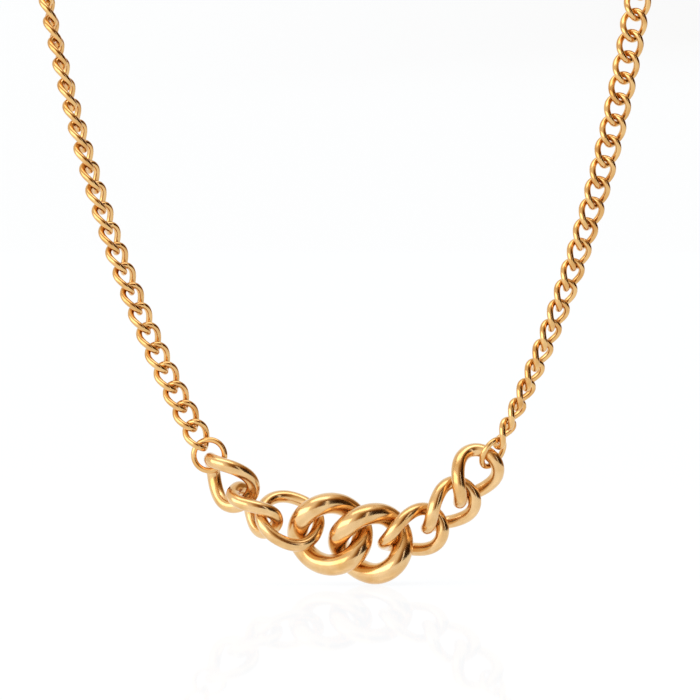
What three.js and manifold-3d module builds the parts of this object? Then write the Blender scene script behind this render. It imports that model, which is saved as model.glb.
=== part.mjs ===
// Graduated curb-link chain necklace, hanging as it does from a neck.
// Millimetres, +Z up, +X to the viewer's right, the front faces -Y.
// Origin: the middle of the back of the neck, where the clasp lies.
import * as THREE from 'three';
import { mergeVertices } from 'three/addons/utils/BufferGeometryUtils.js';
import Module from 'manifold-3d';

const wasm = await Module();
wasm.setup();

// Driving dimensions.
const frontY = -72; // the plane that both front strands hang in
const jointedLinks = 20; // fine links on each side that swing
const fine = { wire: 1.35, pitch: 4.3, halfWidth: 2.12, play: 0.12, twist: 45, fullness: 2.2 };
const puffedFullness = 2.25; // 2 is a plain oval, and more is squarer
const ringWire = 1.2;
const ringRadius = 3.1; // to the middle of the wire

// Puffed links, from the outermost to the centre. at: the middle of the link. heading: the
// direction of its length in the front view, in degrees. roll: turn about its own length.
// twist: from the middle of the link to either end. half: half the length and half the width.
const puffed = {
  left: [
    { at: [-22.79, 0.09, -118.04], heading: -50, roll: 45, twist: 41, half: [5.5, 4.5], wire: 2.85 },
    { at: [-17.64, -0.32, -123.84], heading: -46, roll: 77, twist: 43, half: [5.4, 4.54], wire: 2.7 },
    { at: [-10.47, -0.13, -125.99], heading: -24, roll: -39, twist: -6, half: [5.85, 5.45], wire: 2.6 },
    { at: [-2.37, -0.03, -128.76], heading: -12, roll: 1, twist: 37, half: [6.5, 6.17], wire: 4.4 },
  ],
  right: [
    { at: [26.23, 0.15, -117.48], heading: -119, roll: -38, twist: 50, half: [5.6, 4.53], wire: 2.8 },
    { at: [21.24, 0.35, -123.67], heading: -137, roll: -42, twist: 46, half: [5.75, 4.41], wire: 2.75 },
    { at: [14.11, 0.48, -128.62], heading: -160, roll: -36, twist: 44, half: [6.1, 4.6], wire: 2.75 },
    { at: [5.69, -0.26, -130.55], heading: -188, roll: -12, twist: 41, half: [6.45, 6.13], wire: 4.4 },
  ],
};

// Jump rings between the fine chain and the puffed links, and how each fine strand leaves them.
// strand: the four control points of the strand's curve in the front view, x and z, from below.
const sides = {
  left: {
    ring: { at: [-26.56, -0.01, -113.04], heading: -60, roll: 5 },
    strand: [[-27.9, -111.0], [-43.6, -82.6], [-52.6, -52], [-59.2, -22]],
    rollBelow: -30,
    rollAbove: -90,
    rollEase: 1,
  },
  right: {
    ring: { at: [30.18, 0.25, -112.57], heading: -125, roll: -56 },
    strand: [[31.4, -110.6], [46.2, -82.2], [54.4, -52], [59.1, -22]],
    rollBelow: -78,
    rollAbove: -5,
    rollEase: 1.5,
  },
};

// The chain round the neck, on the right; the left is its mirror image.
const neckRoute = [
  [59.1, frontY, -22],
  [60.4, frontY + 1.6, -15.5],
  [61.2, frontY + 7, -10.5],
  [60.6, frontY + 16, -8],
  [56.5, -40, -5.5],
  [47, -23, -3],
  [34, -9.5, -1.2],
  [21, -2.2, -0.3],
];
const runRadius = 2.5; // envelope of the fine chain

// Clasp, lying flat across the back of the neck.
const clasp = {
  middle: [1.5, 1.2, 0],
  inner: 2.1,
  outer: 3.4,
  thickness: 1.6,
  gate: [57, 165], // the lever closes the claw between these angles
  tipGap: 3, // and stands this far off the claw's tip, in degrees
  pivotAngle: 160,
  pinRadius: 0.32,
  leverThickness: 0.6,
  eyeAt: -6.4,
  eyeRadius: 1.7,
  eyeHole: 0.9,
  clearance: 0.12,
  heelRadius: 0.75, // of the lever, round its pin
  slotWidth: 1.1, // for the lever and the spring
  nubAngle: 128,
  leverOffset: -0.2,
};
const claspRing = { radius: 2.2, wire: 0.8 };
const endRing = { radius: 3.2, wire: 0.9 };

// Materials.
const gold = new THREE.MeshStandardMaterial({ color: 0xd9a659, roughness: 0.18, metalness: 1 });
const steel = new THREE.MeshStandardMaterial({ color: 0xb9bcc0, roughness: 0.35, metalness: 1 });

const necklace = new THREE.Group();
const rad = THREE.MathUtils.degToRad;

function addNode(name, geometry, material = gold, parent = necklace) {
  const mesh = new THREE.Mesh(geometry, material);
  mesh.name = name;
  parent.add(mesh);
  return mesh;
}

// A rounded oval in the XY plane whose ends are twisted about X: +twist at -X, -twist at +X.
function twistedOval(halfLength, halfWidth, twist, fullness, steps) {
  const points = [];
  for (let i = 0; i < steps; i++) {
    const t = (2 * Math.PI * i) / steps;
    const c = Math.cos(t);
    const s = Math.sin(t);
    const along = Math.sign(c) * Math.abs(c) ** (2 / fullness);
    const across = halfWidth * Math.sign(s) * Math.abs(s) ** (2 / fullness);
    const turn = -rad(twist) * along;
    points.push(
      new THREE.Vector3(halfLength * along, across * Math.cos(turn), across * Math.sin(turn)),
    );
  }
  return points;
}

// Sweeps a round wire along a closed path about the origin, into one closed body.
function closedWire(path, wire, wireSides) {
  const count = path.length;
  const positions = [];
  const faces = [];
  path.forEach((point, i) => {
    const tangent = path[(i + 1) % count].clone().sub(path[(i + count - 1) % count]).normalize();
    const outward = point.clone().addScaledVector(tangent, -point.dot(tangent)).normalize();
    const beside = tangent.clone().cross(outward);
    for (let j = 0; j < wireSides; j++) {
      const angle = (2 * Math.PI * j) / wireSides;
      const rim = point
        .clone()
        .addScaledVector(outward, (wire / 2) * Math.cos(angle))
        .addScaledVector(beside, (wire / 2) * Math.sin(angle));
      positions.push(rim.x, rim.y, rim.z);
    }
  });
  for (let i = 0; i < count; i++) {
    for (let j = 0; j < wireSides; j++) {
      const a = i * wireSides + j;
      const b = i * wireSides + ((j + 1) % wireSides);
      const c = ((i + 1) % count) * wireSides + ((j + 1) % wireSides);
      const d = ((i + 1) % count) * wireSides + j;
      faces.push(a, b, c, a, c, d);
    }
  }
  const geometry = new THREE.BufferGeometry();
  geometry.setAttribute('position', new THREE.Float32BufferAttribute(positions, 3));
  geometry.setIndex(faces);
  geometry.computeVertexNormals();
  return geometry;
}

// Turns a link so that its length follows heading in the front view, and rolls it.
function layLink(mesh, at, heading, roll) {
  const along = new THREE.Vector3(Math.cos(rad(heading)), 0, Math.sin(rad(heading)));
  const toViewer = new THREE.Vector3(0, -1, 0);
  const across = toViewer.clone().cross(along);
  const turned = across.clone().applyAxisAngle(along, rad(roll));
  const facing = toViewer.clone().applyAxisAngle(along, rad(roll));
  mesh.quaternion.setFromRotationMatrix(new THREE.Matrix4().makeBasis(along, turned, facing));
  mesh.position.set(at[0], frontY + at[1], at[2]);
}

function addPuffedLinks(side) {
  puffed[side].forEach((link, i) => {
    const outermost = puffed[side].length - i;
    const large = i === puffed[side].length - 1;
    const steps = large ? 28 : 24;
    const path = twistedOval(link.half[0], link.half[1], link.twist, puffedFullness, steps);
    const geometry = closedWire(path, link.wire, large ? 10 : 8);
    const name = large ? `centre_link_${side}` : `puffed_link_${side}_${outermost - 1}`;
    layLink(addNode(name, geometry), link.at, link.heading, link.roll);
  });
}

function addJumpRing(side) {
  const { at, heading, roll } = sides[side].ring;
  const path = twistedOval(ringRadius, ringRadius, 0, 2, 22);
  layLink(addNode(`jump_ring_${side}`, closedWire(path, ringWire, 6)), at, heading, roll);
}

// The fine chain at the front: one link shape, laid along each strand.
const fineHalfLength = (fine.pitch + fine.wire + fine.play) / 2;
const finePath = twistedOval(fineHalfLength, fine.halfWidth, fine.twist, fine.fullness, 14);
const fineLink = closedWire(finePath, fine.wire, 6);

function strandCurve(side) {
  const points = sides[side].strand.map(([x, z]) => new THREE.Vector3(x, frontY, z));
  return new THREE.CubicBezierCurve3(...points);
}

// Contact points between the links of a strand, from the jump ring upwards.
function strandContacts(side, count) {
  const curve = strandCurve(side);
  const length = curve.getLength();
  return Array.from({ length: count }, (_, i) => curve.getPointAt((i * fine.pitch) / length));
}

// Links are numbered from the top; the one above link 1 stays with the chain round the neck.
function addStrand(side) {
  const { rollBelow, rollAbove, rollEase } = sides[side];
  const contacts = strandContacts(side, jointedLinks + 2);
  for (let i = 0; i <= jointedLinks; i++) {
    const below = contacts[i];
    const above = contacts[i + 1];
    const middle = below.clone().add(above).multiplyScalar(0.5);
    const heading = (Math.atan2(below.z - above.z, below.x - above.x) * 180) / Math.PI;
    const share = (1 - i / jointedLinks) ** rollEase; // 1 at the bottom, 0 at the top
    const number = String(jointedLinks - i).padStart(2, '0');
    const name = i === jointedLinks ? `anchor_link_${side}` : `curb_link_${side}_${number}`;
    const mesh = addNode(name, fineLink);
    const roll = rollAbove + (rollBelow - rollAbove) * share;
    layLink(mesh, [middle.x, 0, middle.z], heading, roll);
  }
}

// A plain solid with the outer size of the chain, from the link above the anchor link to the clasp.
function addRun(side) {
  const mirror = side === 'left' ? -1 : 1;
  const top = strandContacts(side, jointedLinks + 2).at(-1);
  const before = strandContacts(side, jointedLinks + 1).at(-1);
  const start = top.clone().addScaledVector(top.clone().sub(before).normalize(), 1.7);
  const end = new THREE.Vector3(mirror * runEnd[side], clasp.middle[1], 0);
  const route = neckRoute.map(([x, y, z]) => new THREE.Vector3(mirror * x, y, z));
  const points = [start, ...route.filter((p) => p.z > start.z + 1.5), end];
  const outline = new THREE.Shape();
  outline.absarc(0, 0, runRadius, 0, 2 * Math.PI);
  const extrudePath = new THREE.CatmullRomCurve3(points, false, 'centripetal');
  const geometry = new THREE.ExtrudeGeometry(outline, { steps: 36, curveSegments: 4, extrudePath });
  addNode(`back_run_${side}`, geometry);
}

// The clasp's own frame: X along it, Y up the back of the neck, Z towards the neck.
const claspFrame = new THREE.Group();
claspFrame.position.set(...clasp.middle);
claspFrame.rotation.x = Math.PI / 2;

function solidOf(geometry) {
  const bare = geometry.clone();
  bare.deleteAttribute('normal');
  bare.deleteAttribute('uv');
  const merged = mergeVertices(bare, 1e-4);
  const triVerts = new Uint32Array(merged.index.array);
  const vertProperties = merged.attributes.position.array;
  return new wasm.Manifold(new wasm.Mesh({ numProp: 3, vertProperties, triVerts }));
}

function geometryOf(solid) {
  const mesh = solid.getMesh();
  const geometry = new THREE.BufferGeometry();
  geometry.setAttribute('position', new THREE.Float32BufferAttribute(mesh.vertProperties, 3));
  geometry.setIndex(Array.from(mesh.triVerts));
  geometry.computeVertexNormals();
  return geometry;
}

// A flat plate of the outline, centred on its thickness.
function plate(outline, thickness, curveSegments = 10) {
  const settings = { depth: thickness, bevelEnabled: false, curveSegments };
  return new THREE.ExtrudeGeometry(outline, settings).translate(0, 0, -thickness / 2);
}

// A band of a circle about the origin, from one angle to another.
function arcBand(inner, outer, from, to) {
  const band = new THREE.Shape();
  band.absarc(0, 0, outer, rad(from), rad(to), false);
  band.absarc(0, 0, inner, rad(to), rad(from), true);
  band.closePath();
  return band;
}

function disc(x, y, radius) {
  return new THREE.Shape().absarc(x, y, radius, 0, 2 * Math.PI, false);
}

const pivotRadius = (clasp.inner + clasp.outer) / 2;
const pivot = new THREE.Vector2(
  pivotRadius * Math.cos(rad(clasp.pivotAngle)),
  pivotRadius * Math.sin(rad(clasp.pivotAngle)),
);

function addClaspBody() {
  const { inner, outer, gate, tipGap, thickness, heelRadius, slotWidth } = clasp;
  const claw = plate(arcBand(inner, outer, gate[1], 360 + gate[0] - tipGap), thickness);
  const cheek = plate(disc(pivot.x, pivot.y, heelRadius + 0.25), thickness);
  const neckLength = -clasp.eyeAt - inner;
  const neck = new THREE.BoxGeometry(neckLength, 1.5, thickness);
  neck.translate(clasp.eyeAt + neckLength / 2, 0, 0);
  const eye = plate(disc(clasp.eyeAt, 0, clasp.eyeRadius), 1.2);
  const hole = plate(disc(clasp.eyeAt, 0, clasp.eyeHole), 4);
  const slot = plate(disc(pivot.x, pivot.y, heelRadius + 0.6), slotWidth);
  const pinHole = plate(disc(pivot.x, pivot.y, clasp.pinRadius + 0.06), 4, 6);
  const joined = solidOf(claw)
    .add(solidOf(cheek))
    .add(solidOf(neck))
    .add(solidOf(eye))
    .subtract(solidOf(hole))
    .subtract(solidOf(slot))
    .subtract(solidOf(pinHole));
  addNode('clasp_body', geometryOf(joined), gold, claspFrame);
}

function addClaspLever() {
  const { inner, outer, gate, clearance, leverThickness, heelRadius } = clasp;
  const bar = plate(arcBand(inner + clearance, outer - clearance, gate[0], gate[1] - 12), leverThickness);
  const heel = plate(disc(pivot.x, pivot.y, heelRadius), leverThickness);
  const nubAngle = rad(clasp.nubAngle);
  const nub = plate(disc(3.3 * Math.cos(nubAngle), 3.3 * Math.sin(nubAngle), 0.6), leverThickness);
  const pinHole = plate(disc(pivot.x, pivot.y, clasp.pinRadius + 0.06), 4, 6);
  const joined = solidOf(bar).add(solidOf(heel)).add(solidOf(nub)).subtract(solidOf(pinHole));
  addNode('clasp_lever', geometryOf(joined), gold, claspFrame).position.z = clasp.leverOffset;
}

function addClaspPin() {
  const pin = new THREE.CylinderGeometry(clasp.pinRadius, clasp.pinRadius, clasp.thickness, 12);
  const mesh = addNode('clasp_pin', pin, gold, claspFrame);
  mesh.rotation.x = Math.PI / 2;
  mesh.position.set(pivot.x, pivot.y, 0);
}

// Two turns of fine steel wire round the pin, between the lever and the far cheek.
function addClaspSpring() {
  const wire = 0.14;
  const coil = new THREE.Curve();
  coil.getPoint = (t) => {
    const angle = 4 * Math.PI * t;
    const radius = clasp.pinRadius + 0.06 + wire;
    return new THREE.Vector3(radius * Math.cos(angle), radius * Math.sin(angle), 0.2 * t);
  };
  const settings = { steps: 32, curveSegments: 2, extrudePath: coil };
  const geometry = new THREE.ExtrudeGeometry(disc(0, 0, wire / 2), settings);
  addNode('clasp_spring', geometry, steel, claspFrame).position.set(pivot.x, pivot.y, 0.22);
}

// A ring that lies level, through the clasp.
function addLevelRing(name, { radius, wire }, x, z = 0) {
  const path = twistedOval(radius, radius, 0, 2, 20);
  addNode(name, closedWire(path, wire, 6)).position.set(x, clasp.middle[1], z);
}

// The rings' wires sit inside the eye and the claw, with a little play.
const eyeX = clasp.middle[0] + clasp.eyeAt;
const claspRingX = eyeX - (clasp.eyeHole - claspRing.wire / 2 - 0.1) - claspRing.radius;
const endRingX = clasp.middle[0] + 1.4 + endRing.radius;
const runEnd = {
  left: claspRing.radius - claspRingX + claspRing.wire / 2 + 0.35,
  right: endRingX + endRing.radius + endRing.wire / 2 + 0.35,
};

necklace.add(claspFrame);
addClaspBody();
addClaspLever();
addClaspPin();
addClaspSpring();
addLevelRing('clasp_ring', claspRing, claspRingX);
addLevelRing('end_ring', endRing, endRingX, -0.3);
for (const side of ['left', 'right']) {
  addRun(side);
  addStrand(side);
  addJumpRing(side);
  addPuffedLinks(side);
}

export default necklace;
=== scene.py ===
import math
import bmesh
import bpy
from mathutils import Matrix, Vector


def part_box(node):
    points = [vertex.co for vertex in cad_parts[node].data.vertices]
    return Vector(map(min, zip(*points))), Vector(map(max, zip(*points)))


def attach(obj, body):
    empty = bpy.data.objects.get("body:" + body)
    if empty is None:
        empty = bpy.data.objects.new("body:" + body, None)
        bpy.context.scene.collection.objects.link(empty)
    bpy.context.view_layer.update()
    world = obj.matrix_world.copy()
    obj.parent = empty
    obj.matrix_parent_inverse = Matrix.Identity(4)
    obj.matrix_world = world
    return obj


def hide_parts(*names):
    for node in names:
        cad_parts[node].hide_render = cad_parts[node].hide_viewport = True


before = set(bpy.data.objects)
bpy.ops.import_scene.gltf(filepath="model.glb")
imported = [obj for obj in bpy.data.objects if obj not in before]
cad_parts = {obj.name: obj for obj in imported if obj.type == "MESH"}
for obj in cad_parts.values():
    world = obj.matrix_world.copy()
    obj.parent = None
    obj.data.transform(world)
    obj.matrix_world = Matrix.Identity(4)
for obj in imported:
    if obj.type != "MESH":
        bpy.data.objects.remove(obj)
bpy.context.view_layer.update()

mm = 0.001
metre = 1000  # in mm: a pattern's scale is this over the size of its grain in mm
middleX = 1.6 * mm  # the camera looks at this line of the pendant
middleZ = -92.0 * mm
frontY = -72.0 * mm  # plane of the two front strands
drawn = 0.975  # share of its gauge that link wire is drawn to, so that links slide on each other


def linear(hexColour):  # an sRGB hex colour as the linear light that a socket takes
    parts = [int(hexColour[i:i + 2], 16) / 255 for i in (0, 2, 4)]
    return [p / 12.92 if p <= 0.04045 else ((p + 0.055) / 1.055) ** 2.4 for p in parts] + [1.0]


def addNode(tree, kind, inputs=None, **settings):
    node = tree.nodes.new(kind)
    for key, value in settings.items():
        setattr(node, key, value)
    for key, value in (inputs or {}).items():
        socket = node.inputs[key]
        if isinstance(value, bpy.types.NodeSocket):
            tree.links.new(value, socket)
        else:
            socket.default_value = value
    return node


# Camera: level with the pendant and a long way off, so both strands run out of the top.
view = {"lens": 135.0, "sensor": 36.0, "width": 140.0 * mm, "clipEnd": 10}
cameraData = bpy.data.cameras.new("studioCamera")
cameraData.lens = view["lens"]
cameraData.sensor_width = view["sensor"]
cameraData.clip_end = view["clipEnd"]
camera = bpy.data.objects.new("studioCamera", cameraData)
reach = view["width"] * view["lens"] / view["sensor"]
camera.location = (middleX, frontY - reach, middleZ)
camera.rotation_euler = (math.radians(90), 0, 0)
bpy.context.scene.collection.objects.link(camera)
bpy.context.scene.camera = camera
print("camera set", round(reach, 3), "m away")


def newMaterial(name):
    material = bpy.data.materials.new(name)
    material.use_nodes = True
    tree = material.node_tree
    tree.nodes.clear()
    shader = addNode(tree, "ShaderNodeBsdfPrincipled")
    addNode(tree, "ShaderNodeOutputMaterial", {"Surface": shader.outputs["BSDF"]})
    return material, tree, shader


# Brass plated with gold, polished and lacquered: a warm, soft mirror. The polish leaves a faint
# orange peel and short hairlines, the plate is redder where it is thin, and the lacquer gives the
# highlights a paler skin. Peel and hairline are grain sizes in mm. Real hairlines are finer than
# these and would not show, so they are drawn coarser.
goldLooks = {
    "barrelPolishedGoldPlate": {
        "colour": "E9BE7E", "thin": "D29A52", "roughness": 0.09, "spread": 0.05,
        "peel": 1.1, "hairline": 0.36, "lacquer": 0.35,
    },
    "satinPolishedGoldPlate": {
        "colour": "ECC58D", "thin": "DDAC68", "roughness": 0.17, "spread": 0.06,
        "peel": 2.6, "hairline": 0.48, "lacquer": 0.5,
    },
}
goldSurface = {  # what both finishes share
    "patch": 3.5, "patchFrom": 0.4, "patchTo": 0.75,  # thin plate, in patches of this many mm
    "hairStretch": (1.0, 0.25, 0.6), "hairLean": (0.4, 0.9, 0.3), "hairFrom": 0.35, "hairTo": 0.8,
    "hairStrength": 0.02, "hairDepth": 0.01 * mm,
    "peelStrength": 0.04, "peelDepth": 0.05 * mm,
    "lacquerRoughness": 0.08,
}


def platedGold(name):
    look = goldLooks[name]
    material, tree, shader = newMaterial(name)
    place = addNode(tree, "ShaderNodeTexCoord").outputs["Object"]
    tone = addNode(tree, "ShaderNodeTexNoise", {
        "Vector": place, "Scale": metre / goldSurface["patch"], "Detail": 2.0,
    })
    thinness = addNode(tree, "ShaderNodeMapRange", {
        "Value": tone.outputs["Fac"], "From Min": goldSurface["patchFrom"], "From Max": goldSurface["patchTo"],
    })
    mix = addNode(tree, "ShaderNodeMix", {"Factor": thinness.outputs["Result"]}, data_type="RGBA")
    mix.inputs[6].default_value = linear(look["colour"])
    mix.inputs[7].default_value = linear(look["thin"])
    tree.links.new(mix.outputs[2], shader.inputs["Base Color"])
    stretch = addNode(tree, "ShaderNodeMapping", {
        "Vector": place, "Scale": goldSurface["hairStretch"], "Rotation": goldSurface["hairLean"],
    })
    lines = addNode(tree, "ShaderNodeTexNoise", {
        "Vector": stretch.outputs["Vector"], "Scale": metre / look["hairline"], "Detail": 2.0,
    })
    rough = addNode(tree, "ShaderNodeMapRange", {
        "Value": lines.outputs["Fac"], "From Min": goldSurface["hairFrom"], "From Max": goldSurface["hairTo"],
        "To Min": look["roughness"], "To Max": look["roughness"] + look["spread"],
    })
    tree.links.new(rough.outputs["Result"], shader.inputs["Roughness"])
    peel = addNode(tree, "ShaderNodeTexNoise", {
        "Vector": place, "Scale": metre / look["peel"], "Detail": 1.0,
    })
    softly = addNode(tree, "ShaderNodeBump", {
        "Height": peel.outputs["Fac"],
        "Strength": goldSurface["peelStrength"], "Distance": goldSurface["peelDepth"],
    })
    finely = addNode(tree, "ShaderNodeBump", {
        "Height": lines.outputs["Fac"], "Normal": softly.outputs["Normal"],
        "Strength": goldSurface["hairStrength"], "Distance": goldSurface["hairDepth"],
    })
    tree.links.new(finely.outputs["Normal"], shader.inputs["Normal"])
    shader.inputs["Metallic"].default_value = 1.0
    shader.inputs["Coat Weight"].default_value = look["lacquer"]
    shader.inputs["Coat Roughness"].default_value = goldSurface["lacquerRoughness"]
    return material


goldPlate = platedGold("barrelPolishedGoldPlate")
satinPlate = platedGold("satinPolishedGoldPlate")

# Drawn spring steel, bright with fine die lines. Real die lines would not show at this size, so
# they are drawn coarser, with a grain of this many mm.
springSteel = {"colour": "BFC1C4", "dieLine": 0.1, "bright": 0.22, "dull": 0.42}
drawnSteel, tree, shader = newMaterial("drawnSpringSteel")
place = addNode(tree, "ShaderNodeTexCoord").outputs["Object"]
dieLines = addNode(tree, "ShaderNodeTexNoise", {
    "Vector": place, "Scale": metre / springSteel["dieLine"], "Detail": 2.0,
})
rough = addNode(tree, "ShaderNodeMapRange", {
    "Value": dieLines.outputs["Fac"], "To Min": springSteel["bright"], "To Max": springSteel["dull"],
})
tree.links.new(rough.outputs["Result"], shader.inputs["Roughness"])
shader.inputs["Base Color"].default_value = linear(springSteel["colour"])
shader.inputs["Metallic"].default_value = 1.0
print("finishes made")


# Links: one tree shapes a twisted oval of wire and sets one at each point it is given.
def linkTree(name, material):
    tree = bpy.data.node_groups.new(name, "GeometryNodeTree")
    tree.interface.new_socket("Points", in_out="INPUT", socket_type="NodeSocketGeometry")
    for size in ["Half Length", "Half Width", "Wire", "Twist", "Fullness"]:
        tree.interface.new_socket(size, in_out="INPUT", socket_type="NodeSocketFloat")
    for count in ["Path Steps", "Wire Sides"]:
        tree.interface.new_socket(count, in_out="INPUT", socket_type="NodeSocketInt")
    tree.interface.new_socket("Links", in_out="OUTPUT", socket_type="NodeSocketGeometry")
    given = addNode(tree, "NodeGroupInput").outputs

    factor = addNode(tree, "GeometryNodeSplineParameter").outputs["Factor"]
    angle = addNode(tree, "ShaderNodeMath", {0: factor, 1: 2 * math.pi}, operation="MULTIPLY").outputs[0]
    power = addNode(tree, "ShaderNodeMath", {0: 2.0, 1: given["Fullness"]}, operation="DIVIDE").outputs[0]
    shaped = []  # a full oval: the sign of each wave times its size raised to a power
    for wave in ["COSINE", "SINE"]:
        plain = addNode(tree, "ShaderNodeMath", {0: angle}, operation=wave).outputs[0]
        sign = addNode(tree, "ShaderNodeMath", {0: plain}, operation="SIGN").outputs[0]
        size = addNode(tree, "ShaderNodeMath", {0: plain}, operation="ABSOLUTE").outputs[0]
        full = addNode(tree, "ShaderNodeMath", {0: size, 1: power}, operation="POWER").outputs[0]
        shaped.append(addNode(tree, "ShaderNodeMath", {0: sign, 1: full}, operation="MULTIPLY").outputs[0])
    along = addNode(tree, "ShaderNodeMath", {0: given["Half Length"], 1: shaped[0]}, operation="MULTIPLY")
    across = addNode(tree, "ShaderNodeMath", {0: given["Half Width"], 1: shaped[1]}, operation="MULTIPLY")
    twist = addNode(tree, "ShaderNodeMath", {0: given["Twist"], 1: shaped[0]}, operation="MULTIPLY")
    wide = addNode(tree, "ShaderNodeCombineXYZ", {"X": along.outputs[0], "Y": across.outputs[0]})
    spot = addNode(tree, "ShaderNodeVectorRotate", {
        "Vector": wide.outputs["Vector"], "Axis": (-1.0, 0.0, 0.0), "Angle": twist.outputs[0],
    }, rotation_type="AXIS_ANGLE")
    ring = addNode(tree, "GeometryNodeCurvePrimitiveCircle", {
        "Resolution": given["Path Steps"], "Radius": 1.0,
    })
    path = addNode(tree, "GeometryNodeSetPosition", {
        "Geometry": ring.outputs["Curve"], "Position": spot.outputs["Vector"],
    })
    outward = addNode(tree, "GeometryNodeInputPosition").outputs["Position"]
    held = addNode(tree, "GeometryNodeSetCurveNormal", {
        "Curve": path.outputs["Geometry"], "Normal": outward,
    }, mode="FREE")
    radius = addNode(tree, "ShaderNodeMath", {0: given["Wire"], 1: 0.5}, operation="MULTIPLY").outputs[0]
    section = addNode(tree, "GeometryNodeCurvePrimitiveCircle", {
        "Resolution": given["Wire Sides"], "Radius": radius,
    })
    swept = addNode(tree, "GeometryNodeCurveToMesh", {
        "Curve": held.outputs["Curve"], "Profile Curve": section.outputs["Curve"],
    })
    smooth = addNode(tree, "GeometryNodeSetShadeSmooth", {
        "Geometry": swept.outputs["Mesh"], "Shade Smooth": True,
    })
    lie = addNode(tree, "GeometryNodeInputNamedAttribute", {"Name": "turn"}, data_type="FLOAT_VECTOR")
    way = addNode(tree, "FunctionNodeEulerToRotation", {"Euler": lie.outputs["Attribute"]})
    placed = addNode(tree, "GeometryNodeInstanceOnPoints", {
        "Points": given["Points"], "Instance": smooth.outputs["Geometry"], "Rotation": way.outputs["Rotation"],
    })
    solid = addNode(tree, "GeometryNodeRealizeInstances", {"Geometry": placed.outputs["Instances"]})
    dressed = addNode(tree, "GeometryNodeSetMaterial", {
        "Geometry": solid.outputs["Geometry"], "Material": material,
    })
    addNode(tree, "NodeGroupOutput", {"Links": dressed.outputs["Geometry"]})
    return tree


wireLinks = linkTree("wireLinks", goldPlate)
puffedWire = linkTree("puffedWire", satinPlate)


def linkPiece(name, spots, sizes, body, nodes, shape=wireLinks):
    mesh = bpy.data.meshes.new(name)
    mesh.from_pydata([tuple(spot) for spot, turn in spots], [], [])
    turns = mesh.attributes.new("turn", "FLOAT_VECTOR", "POINT")
    for i, (spot, turn) in enumerate(spots):
        turns.data[i].vector = tuple(turn)
    holder = bpy.data.objects.new(name + "_points", mesh)
    bpy.context.scene.collection.objects.link(holder)
    modifier = holder.modifiers.new("links", "NODES")
    modifier.node_group = shape
    for item in shape.interface.items_tree:
        if item.in_out == "INPUT" and item.name in sizes:
            modifier[item.identifier] = sizes[item.name]
    evaluated = holder.evaluated_get(bpy.context.evaluated_depsgraph_get())
    made = bpy.data.meshes.new_from_object(evaluated)
    holder.modifiers.remove(modifier)
    bpy.data.objects.remove(holder)
    piece = bpy.data.objects.new(name, made)
    bpy.context.scene.collection.objects.link(piece)
    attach(piece, body)
    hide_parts(*nodes)


def lay(along, roll):  # length along a direction, rolled about it from facing the viewer
    along = Vector(along).normalized()
    facing = Vector((0, -1, 0))
    across = facing.cross(along).normalized()
    facing = along.cross(across)
    spin = Matrix.Rotation(math.radians(roll), 3, along)
    across, facing = spin @ across, spin @ facing
    return Matrix((along, across, facing)).transposed()


def heading(degrees):
    return Vector((math.cos(math.radians(degrees)), 0, math.sin(math.radians(degrees))))


def middleOf(node):  # a twisted link is not in the middle of its box, so its skin is weighed
    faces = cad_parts[node].data.polygons
    area = sum(face.area for face in faces)
    return sum((face.center * face.area for face in faces), Vector()) / area


# Fine curb chain: each link rolls a little from the last, as a hanging chain does.
fineWire = 1.35 * mm
finePlay = 0.12 * mm  # room between two links that hook into each other
finePitch = 4.3 * mm
fineChain = {
    "Half Length": (finePitch + fineWire + finePlay) / 2, "Half Width": 2.12 * mm,
    "Wire": fineWire * drawn, "Twist": math.radians(45), "Fullness": 2.2,
    "Path Steps": 48, "Wire Sides": 14,
}
fineCount = 20  # links of one strand under its anchor link
strands = {  # roll of the top link and of the bottom one, in degrees
    "left": {"above": -90, "below": -30, "ease": 1.0},
    "right": {"above": -5, "below": -78, "ease": 1.5},
}
anchorTurn = {}
rows = {}
for side, roll in strands.items():
    names = ["anchor_link_" + side] + ["curb_link_%s_%02d" % (side, i + 1) for i in range(fineCount)]
    middles = [middleOf(name) for name in names]
    meets = [(a + b) / 2 for a, b in zip(middles, middles[1:])]
    meets.append(middles[-1] * 2 - meets[-1])
    for i, node in enumerate(names):
        share = (i / fineCount) ** roll["ease"]
        along = meets[i] - middles[i]
        turn = lay(along, roll["above"] + (roll["below"] - roll["above"]) * share)
        if i == 0:
            anchorTurn[side] = (middles[0], turn, along.normalized())
        body = "row_%02d" % i if i else "neck_chain"
        rows.setdefault(body, []).append((middles[i], turn.to_euler(), node))
for body, links in rows.items():
    spots = [(middle, turn) for middle, turn, node in links]
    linkPiece("fineLinks_" + body, spots, fineChain, body, [node for middle, turn, node in links])
print("fine chain made")


# Puffed links, from the fine chain to the two large ones in the centre. Heading, roll and twist
# are in degrees, half sizes and wire in mm.
puffedLinks = {
    "left_3": {"heading": -50, "roll": 45, "twist": 41, "half": (5.5, 4.5), "wire": 2.85},
    "left_2": {"heading": -46, "roll": 77, "twist": 43, "half": (5.4, 4.54), "wire": 2.7},
    "left_1": {"heading": -24, "roll": -39, "twist": -6, "half": (5.85, 5.45), "wire": 2.6},
    "left": {"heading": -12, "roll": 1, "twist": 37, "half": (6.5, 6.17), "wire": 4.4},
    "right_3": {"heading": -119, "roll": -38, "twist": 50, "half": (5.6, 4.53), "wire": 2.8},
    "right_2": {"heading": -137, "roll": -42, "twist": 46, "half": (5.75, 4.41), "wire": 2.75},
    "right_1": {"heading": -160, "roll": -36, "twist": 44, "half": (6.1, 4.6), "wire": 2.75},
    "right": {"heading": -188, "roll": -12, "twist": 41, "half": (6.45, 6.13), "wire": 4.4},
}
puffedFullness = 2.25
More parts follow.
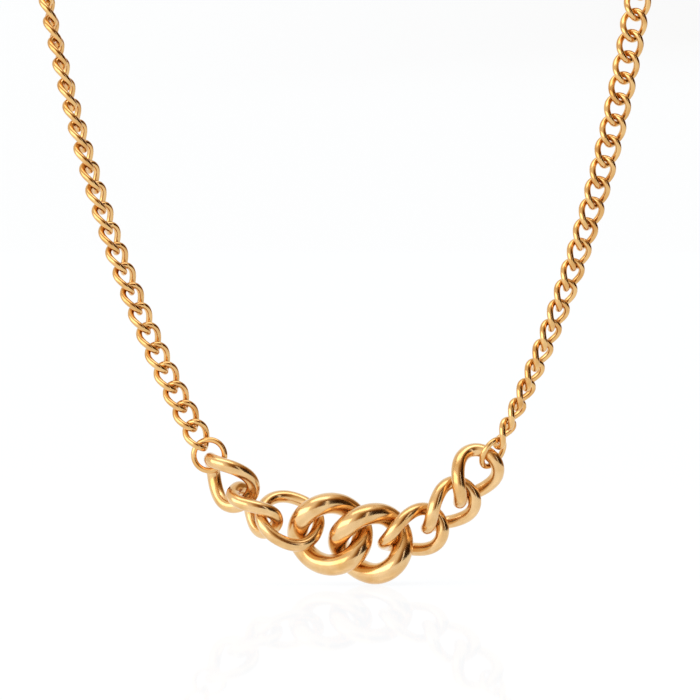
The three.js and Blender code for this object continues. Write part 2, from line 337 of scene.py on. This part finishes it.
puffedKinds = {
    False: {"node": "puffed_link_", "piece": "puffedLink_", "steps": 84, "sides": 24},
    True: {"node": "centre_link_", "piece": "centreLink_", "steps": 120, "sides": 36},
}
for name, link in puffedLinks.items():
    kind = puffedKinds[name in ("left", "right")]
    node = kind["node"] + name
    sizes = {
        "Half Length": link["half"][0] * mm, "Half Width": link["half"][1] * mm,
        "Wire": link["wire"] * mm * drawn, "Twist": math.radians(link["twist"]),
        "Fullness": puffedFullness, "Path Steps": kind["steps"], "Wire Sides": kind["sides"],
    }
    turn = lay(heading(link["heading"]), link["roll"])
    linkPiece(kind["piece"] + name, [(middleOf(node), turn.to_euler())], sizes, node, [node], puffedWire)

jumpRings = {"left": {"heading": -60, "roll": 5}, "right": {"heading": -125, "roll": -56}}
ringSizes = {
    "Half Length": 3.1 * mm, "Half Width": 3.1 * mm, "Wire": 1.2 * mm * drawn, "Twist": 0.0,
    "Fullness": 2.0, "Path Steps": 72, "Wire Sides": 16,
}
for side, ring in jumpRings.items():
    node = "jump_ring_" + side
    turn = lay(heading(ring["heading"]), ring["roll"])
    linkPiece("jumpRing_" + side, [(middleOf(node), turn.to_euler())], ringSizes, node, [node])
print("puffed links and jump rings made")


# The chain round the neck: one link after another along its route, up from the anchor link.
# The route is the right side's, in mm, and the left side mirrors it.
neckRoute = [
    (59.1, -72.0, -22.0), (60.4, -70.4, -15.5), (61.2, -65.0, -10.5), (60.6, -56.0, -8.0),
    (56.5, -40.0, -5.5), (47.0, -23.0, -3.0), (34.0, -9.5, -1.2), (21.0, -2.2, -0.3),
]
neckChain = {
    "rise": 3 * mm,  # route points nearer than this to the anchor link are left out
    "endGap": 0.2 * mm, "endY": 1.2 * mm,  # where the last link meets its ring
    "share": 0.9999,  # of the even pitch, so that rounding can't lose the last link
}


def smoothRoute(points, steps=40):  # a centripetal curve through the points, as short steps
    points = [points[0] * 2 - points[1]] + points + [points[-1] * 2 - points[-2]]
    line = []
    for i in range(1, len(points) - 2):
        p0, p1, p2, p3 = points[i - 1:i + 3]
        t1 = (p1 - p0).length ** 0.5
        t2 = t1 + (p2 - p1).length ** 0.5
        t3 = t2 + (p3 - p2).length ** 0.5
        for s in range(steps):
            t = t1 + (t2 - t1) * s / steps
            a1 = p0 * ((t1 - t) / t1) + p1 * (t / t1)
            a2 = p1 * ((t2 - t) / (t2 - t1)) + p2 * ((t - t1) / (t2 - t1))
            a3 = p2 * ((t3 - t) / (t3 - t2)) + p3 * ((t - t2) / (t3 - t2))
            b1 = a1 * ((t2 - t) / t2) + a2 * (t / t2)
            b2 = a2 * ((t3 - t) / (t3 - t1)) + a3 * ((t - t1) / (t3 - t1))
            line.append(b1 * ((t2 - t) / (t2 - t1)) + b2 * ((t - t1) / (t2 - t1)))
    return line + [points[-2]]


def evenPoints(line, pitch):
    found, carried = [line[0]], 0.0
    for a, b in zip(line, line[1:]):
        length = (b - a).length
        while carried + length >= pitch:
            a = a.lerp(b, (pitch - carried) / length)
            length = (b - a).length
            found.append(a)
            carried = 0.0
        carried += length
    return found


for side in ["left", "right"]:
    mirror = -1 if side == "left" else 1
    anchor, turn, along = anchorTurn[side]
    start = anchor - along * finePitch / 2
    nodeLow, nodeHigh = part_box("back_run_" + side)
    endX = nodeHigh[0] if side == "left" else nodeLow[0]
    end = Vector((endX - mirror * neckChain["endGap"], neckChain["endY"], 0))
    route = [Vector((mirror * x, y, z)) * mm for x, y, z in neckRoute]
    points = [start] + [p for p in route if p.z > start.z + neckChain["rise"]] + [end]
    line = smoothRoute(points)
    total = sum((b - a).length for a, b in zip(line, line[1:]))
    evenPitch = total / round(total / finePitch)
    contacts = evenPoints(line, evenPitch * neckChain["share"])
    spots = []
    last = -along
    for a, b in zip(contacts, contacts[1:]):
        direction = (b - a).normalized()
        turn = last.rotation_difference(direction).to_matrix() @ turn
        last = direction
        spots.append(((a + b) / 2, turn.to_euler()))
    sizes = dict(fineChain)
    sizes["Half Length"] = (evenPitch + fineWire + finePlay) / 2
    linkPiece("neckChain_" + side, spots, sizes, "neck_chain", ["back_run_" + side])
    print("neck chain", side, len(spots), "links, pitch", round(evenPitch / mm, 3))


# Clasp: the claw, lever and pin are filed and polished all round, and the rings are wire.
claspParts = {
    "claspClaw": {"node": "clasp_body", "body": "neck_chain", "edge": 0.2 * mm},
    "claspLever": {"node": "clasp_lever", "body": "clasp_lever", "edge": 0.12 * mm},
    "claspPin": {"node": "clasp_pin", "body": "neck_chain", "edge": 0.06 * mm},
}
claspFinish = {
    "weld": 0.002 * mm, "segments": 3,
    "flat": math.radians(3),  # faces that meet within this angle become one
    "sharp": math.radians(40),  # edges sharper than this are filed
}
claspRings = {
    "claspRing": {"node": "clasp_ring", "radius": 2.2 * mm, "wire": 0.8 * mm},
    "endRing": {"node": "end_ring", "radius": 3.2 * mm, "wire": 0.9 * mm},
}


def filedCopy(name, node, body, edge):
    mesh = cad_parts[node].data.copy()
    piece = bpy.data.objects.new(name, mesh)
    bpy.context.scene.collection.objects.link(piece)
    shape = bmesh.new()
    shape.from_mesh(mesh)
    bmesh.ops.remove_doubles(shape, verts=shape.verts, dist=claspFinish["weld"])
    bmesh.ops.dissolve_limit(shape, angle_limit=claspFinish["flat"], verts=shape.verts, edges=shape.edges)
    shape.to_mesh(mesh)
    shape.free()
    mesh.materials.clear()
    mesh.materials.append(goldPlate)
    bevel = piece.modifiers.new("filed edges", "BEVEL")
    bevel.width = edge
    bevel.segments = claspFinish["segments"]
    bevel.limit_method = "ANGLE"
    bevel.angle_limit = claspFinish["sharp"]
    for face in mesh.polygons:
        face.use_smooth = True
    weigh = piece.modifiers.new("even normals", "WEIGHTED_NORMAL")
    weigh.keep_sharp = False
    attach(piece, body)
    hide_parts(node)


for name, part in claspParts.items():
    filedCopy(name, part["node"], part["body"], part["edge"])
for name, ring in claspRings.items():
    sizes = dict(ringSizes)
    sizes.update({"Half Length": ring["radius"], "Half Width": ring["radius"], "Wire": ring["wire"]})
    linkPiece(name, [(middleOf(ring["node"]), (0, 0, 0))], sizes, "neck_chain", [ring["node"]])
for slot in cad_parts["clasp_spring"].material_slots:
    slot.material = drawnSteel
print("clasp made")


# Studio: a white sweep under and behind, soft boxes above and at the sides, and a room that goes warm brown at
# the right.
floorZ = min(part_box("centre_link_right")[0][2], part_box("centre_link_left")[0][2])
sweep = {"width": 1.3, "front": -1.6, "back": 0.9, "height": 1.6, "bend": 0.35, "bendSteps": 12}


def sweepMesh():
    bend = sweep["bend"]
    profile = [(sweep["front"], floorZ)]
    for i in range(sweep["bendSteps"] + 1):
        angle = math.radians(90 * i / sweep["bendSteps"])
        profile.append((sweep["back"] - bend + bend * math.sin(angle), floorZ + bend * (1 - math.cos(angle))))
    profile.append((sweep["back"], floorZ + sweep["height"]))
    verts, faces = [], []
    for y, z in profile:
        verts += [(-sweep["width"] / 2, y, z), (sweep["width"] / 2, y, z)]
    for i in range(len(profile) - 1):
        faces.append((2 * i, 2 * i + 1, 2 * i + 3, 2 * i + 2))
    mesh = bpy.data.meshes.new("paperSweep")
    mesh.from_pydata(verts, [], faces)
    for face in mesh.polygons:
        face.use_smooth = True
    return mesh


# White acrylic, lit from below and from above, with a weak gloss.
acrylic = {
    "matte": 0.15, "glow": 0.92, "glowColour": "F9FCFF",
    "gloss": 0.08, "glossColour": "FFFFFF", "roughness": 0.04,
}
sheetMaterial = bpy.data.materials.new("glossyWhiteAcrylic")
sheetMaterial.use_nodes = True
tree = sheetMaterial.node_tree
tree.nodes.clear()
matte = addNode(tree, "ShaderNodeBsdfDiffuse", {"Color": [acrylic["matte"]] * 3 + [1.0]})
glow = addNode(tree, "ShaderNodeEmission", {
    "Color": linear(acrylic["glowColour"]), "Strength": acrylic["glow"],
})
lit = addNode(tree, "ShaderNodeAddShader", {0: matte.outputs[0], 1: glow.outputs[0]})
gloss = addNode(tree, "ShaderNodeBsdfGlossy", {
    "Color": linear(acrylic["glossColour"]), "Roughness": acrylic["roughness"],
})
sheet = addNode(tree, "ShaderNodeMixShader", {0: acrylic["gloss"], 1: lit.outputs[0], 2: gloss.outputs[0]})
addNode(tree, "ShaderNodeOutputMaterial", {"Surface": sheet.outputs[0]})
backdrop = bpy.data.objects.new("paperSweep", sweepMesh())
backdrop.data.materials.append(sheetMaterial)
bpy.context.scene.collection.objects.link(backdrop)

softBoxes = {  # brightness is what a mirror would show
    "boxAbove": {"at": (0.0, -0.2, 0.5), "size": (0.6, 0.25), "brightness": 1.5},
    "boxLeft": {"at": (-0.5, -0.5, 0.0), "size": (0.8, 0.5), "brightness": 1.55},
    "boxRight": {"at": (0.5, -0.6, 0.0), "size": (0.08, 0.7), "brightness": 1.6},
}
boxTint = (1.0, 0.99, 0.98)
boxTarget = Vector((middleX, frontY, -0.1))
for name, box in softBoxes.items():
    light = bpy.data.lights.new(name, "AREA")
    light.shape = "RECTANGLE"
    light.size, light.size_y = box["size"]
    light.energy = box["brightness"] * math.pi * light.size * light.size_y
    light.color = boxTint
    lamp = bpy.data.objects.new(name, light)
    lamp.location = box["at"]
    aim = boxTarget - Vector(box["at"])
    lamp.rotation_euler = aim.to_track_quat("-Z", "Y").to_euler()
    lamp.visible_camera = False
    bpy.context.scene.collection.objects.link(lamp)

world = bpy.data.worlds.new("studioRoom")
bpy.context.scene.world = world
world.use_nodes = True
tree = world.node_tree
tree.nodes.clear()
room = {  # warm brown at the right, paler ahead, white at the left, above and behind
    "rightFrom": -0.15, "rightTo": 0.7, "topFrom": 0.45, "topTo": 0.9, "behindFrom": 0.0, "behindTo": 0.5,
    "topLevel": 1.0, "behindLevel": 0.55, "seen": "FCFDFE",  # what the camera sees of it directly
    "colours": [(0.0, "2A1505"), (0.35, "7E501E"), (0.7, "B9935C"), (1.0, "F5EBDC")],
}
way = addNode(tree, "ShaderNodeTexCoord").outputs["Generated"]
parts = addNode(tree, "ShaderNodeSeparateXYZ", {"Vector": way})
level = addNode(tree, "ShaderNodeMapRange", {
    "Value": parts.outputs["X"], "From Min": room["rightFrom"], "From Max": room["rightTo"],
    "To Min": 1.0, "To Max": 0.0,
}, interpolation_type="SMOOTHSTEP").outputs["Result"]
for axis, side in [("Z", "top"), ("Y", "behind")]:
    lift = addNode(tree, "ShaderNodeMapRange", {
        "Value": parts.outputs[axis], "From Min": room[side + "From"], "From Max": room[side + "To"],
        "To Max": room[side + "Level"],
    }, interpolation_type="SMOOTHSTEP").outputs["Result"]
    level = addNode(tree, "ShaderNodeMath", {0: level, 1: lift}, operation="MAXIMUM").outputs[0]
ramp = addNode(tree, "ShaderNodeValToRGB", {"Fac": level})
for share, colour in room["colours"][2:]:
    ramp.color_ramp.elements.new(share)
for element, (share, colour) in zip(ramp.color_ramp.elements, room["colours"]):
    element.position = share
    element.color = linear(colour)
walls = addNode(tree, "ShaderNodeBackground", {"Color": ramp.outputs["Color"], "Strength": 1.0})
pale = addNode(tree, "ShaderNodeBackground", {"Color": linear(room["seen"]), "Strength": 1.0})
direct = addNode(tree, "ShaderNodeLightPath").outputs["Is Camera Ray"]
either = addNode(tree, "ShaderNodeMixShader", {0: direct, 1: walls.outputs[0], 2: pale.outputs[0]})
addNode(tree, "ShaderNodeOutputWorld", {"Surface": either.outputs[0]})

bpy.context.scene.view_settings.view_transform = "Standard"
bpy.context.scene.view_settings.look = "None"
print("studio made")
